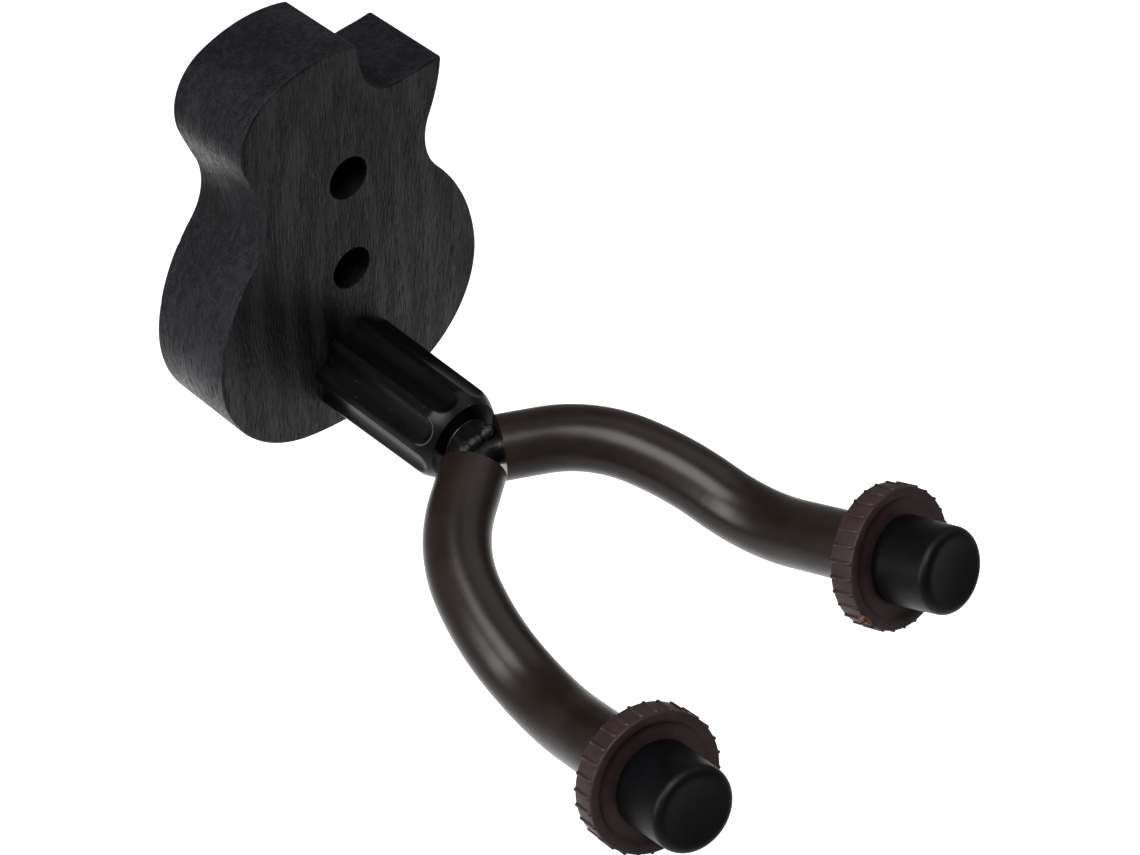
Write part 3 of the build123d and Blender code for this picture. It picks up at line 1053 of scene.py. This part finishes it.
class HANGER_OT_rings(bpy.types.Operator):
    """Mould the two ribbed stop rings with their rims, dishes and flash"""

    bl_idname = "hanger.rings"
    bl_label = "Stop rings"

    def execute(self, context):
        sizes = context.scene.hanger_rings
        material = ring_rubber(context.scene.hanger_finishes.rings)
        body_radius = sizes.body_radius
        growth = rib_growth({
            "Ribs": sizes.rib_count,
            "Radius": body_radius - 0.05 * MM,
            "Width": sizes.rib_width,
            "Height": sizes.rib_height,
            "Length": sizes.rib_length,
            "Nib": sizes.nib_size,
            "Seed": sizes.seed,
        })
        for index, tip in enumerate(tips):
            back, front = tip.span("end_ring")
            bore = sizes.bore_radius
            rim = body_radius - sizes.rim_width
            floor = front - sizes.dish_depth
            profile = [(bore, back)]
            foot = body_radius - sizes.back_rounding, back
            profile += rounded(foot, (body_radius, back), (body_radius, back + sizes.edge_rounding), 4)
            top = body_radius, front - sizes.edge_rounding
            profile += rounded(top, (body_radius, front), (body_radius - sizes.front_rounding, front), 4)
            slope = sizes.rim_slope
            turn = (rim - slope / 2, (front + floor) / 2)
            profile += rounded((rim + slope, front), (rim, front), turn)
            profile += rounded(turn, (rim - slope, floor), (rim - 3 * slope, floor))[1:]
            profile += [(bore, floor)]
            body = turned(
                profile, tip.ring_middle, tip.axis, tip.across, sizes.rib_count * 8,
                flats(body_radius, sizes.rib_count), True, 40,
            )
            body.materials.append(material)
            ribs = seated(growth.run(material, Seed=sizes.seed + index * 5), tip, (back + front) / 2)
            ribs.shade_smooth()
            ring = joined([body, ribs])
            new_piece(
                f"{tip.side}_stop_ring", ring, material, "yoke", "ring_rubber", f"{tip.side}_end_ring"
            )
        return {"FINISHED"}


class HANGER_OT_caps(bpy.types.Operator):
    """Mould the two blind rubber caps on the tips"""

    bl_idname = "hanger.caps"
    bl_label = "End caps"

    def execute(self, context):
        sizes = context.scene.hanger_caps
        material = cap_rubber(context.scene.hanger_finishes.caps)
        for tip in tips:
            root, end = tip.span("end_cap")
            root_radius = tip.radius("end_cap")
            nose = sizes.nose_radius
            edge = sizes.edge_radius
            bore = sizes.bore_radius
            profile = [(0, end - sizes.wall), (bore, end - sizes.wall), (bore, root)]
            profile += [(root_radius - 0.3 * MM, root), (root_radius, root + 0.3 * MM)]
            for share in shares(6):
                radius = root_radius + (nose - root_radius) * share
                profile.append((radius, root + (end - edge - root) * share))
            for share in shares(12):
                angle = radians(90) * share
                profile.append((nose - edge + edge * cos(angle), end - edge + edge * sin(angle)))
            lip = nose - edge
            for share in (0.85, 0.7, 0.5, 0.3, 0.15):
                profile.append((lip * share, end - sizes.dish_depth * (1 - share ** 2)))
            profile.append((0, end - sizes.dish_depth))
            mesh = turned(profile, tip.ring_middle, tip.axis, tip.across, 128, None, False, 50)
            new_piece(f"{tip.side}_tip_cap", mesh, material, "yoke", "cap_rubber", f"{tip.side}_end_cap")
        return {"FINISHED"}


class HANGER_OT_stage(bpy.types.Operator):
    """Set up the pale floor, the soft lights and the camera"""

    bl_idname = "hanger.stage"
    bl_label = "Stage"

    def soft_box(self, name, place, target, size, power):
        light = bpy.data.lights.new(name, "AREA")
        light.shape = "RECTANGLE"
        light.size, light.size_y = size
        light.energy = power
        lamp = added(name, light)
        lamp.location = place
        lamp.rotation_euler = (target - place).to_track_quat("-Z", "Y").to_euler()

    def execute(self, context):
        scene = context.scene
        sizes = scene.hanger_stage
        low, high = cad_bounds
        centre = (low + high) / 2

        half = sizes.floor_size / 2
        height = low.z - sizes.floor_drop
        corners = [(x, y, height) for x, y in ((-half, -half), (half, -half), (half, half), (-half, half))]
        mesh = bpy.data.meshes.new("floor")
        mesh.from_pydata(corners, [], [(0, 1, 2, 3)])
        pool = sizes.pool_place, sizes.pool_inner, sizes.pool_outer
        mesh.materials.append(pale_floor(sizes.floor_paint, *pool))
        added("floor", mesh)

        world = bpy.data.worlds.new("Studio")
        world.use_nodes = True
        studio = Graph(world.node_tree)
        direction = studio.node("ShaderNodeTexCoord", output="Generated")
        level = studio.split(direction)[2].math("ABSOLUTE").step(0.55, 0.05)
        background = world.node_tree.nodes["Background"]
        studio.fill(background.inputs["Strength"], level * sizes.surround + sizes.ceiling)
        studio.fill(background.inputs["Color"], (1, 1, 1, 1))
        scene.world = world
        scene.view_settings.view_transform = "Standard"

        # Where each soft box hangs from the hanger's middle, with its width and height
        for name, offset, size, power in (
            ("Key", (-0.32, -0.10, 0.72), (0.55, 0.50), sizes.key_power),
            ("Fill", (0.50, -0.10, 0.60), (0.70, 0.70), sizes.fill_power),
            ("Side", (-0.75, 0.15, 0.25), (0.14, 0.60), sizes.side_power),
        ):
            self.soft_box(name, centre + Vector(offset), centre, size, power)

        data = bpy.data.cameras.new("Camera")
        data.sensor_width = 36.0
        data.lens = sizes.camera_lens
        data.clip_start = 0.01
        camera = added("Camera", data)
        camera.location = sizes.camera_place
        camera.rotation_euler = Euler(sizes.camera_turn)
        scene.camera = camera
        return {"FINISHED"}


class HANGER_PT_panel(bpy.types.Panel):
    """Builds the hanger piece by piece"""

    bl_idname = "HANGER_PT_panel"
    bl_label = "Wall guitar hanger"
    bl_space_type = "VIEW_3D"
    bl_region_type = "UI"
    bl_category = "Hanger"

    def draw(self, context):
        for operator in operators:
            self.layout.operator(operator.bl_idname)
        for name in groups:
            box = self.layout.box()
            settings = getattr(context.scene, name)
            for key in settings.bl_rna.properties.keys():
                if key not in ("rna_type", "name"):
                    box.prop(settings, key)


operators = [
    HANGER_OT_stage,
    HANGER_OT_block,
    HANGER_OT_collar,
    HANGER_OT_hardware,
    HANGER_OT_weld,
    HANGER_OT_sleeves,
    HANGER_OT_rings,
    HANGER_OT_flake,
    HANGER_OT_caps,
]
groups = {
    "hanger_collar": HangerCollar,
    "hanger_rings": HangerRings,
    "hanger_caps": HangerCaps,
    "hanger_hardware": HangerHardware,
    "hanger_finishes": HangerFinishes,
    "hanger_stage": HangerStage,
}


classes = [*groups.values(), *operators, HANGER_PT_panel]


def register():
    for each in classes:
        bpy.utils.register_class(each)
    for name, group in groups.items():
        setattr(bpy.types.Scene, name, bpy.props.PointerProperty(type=group))


def unregister():
    for name in groups:
        delattr(bpy.types.Scene, name)
    for each in reversed(classes):
        bpy.utils.unregister_class(each)


def main():
    """Build every piece in order."""
    register()
    for operator in operators:
        getattr(bpy.ops.hanger, operator.bl_idname.removeprefix("hanger."))()


if __name__ == "__main__":
    main()
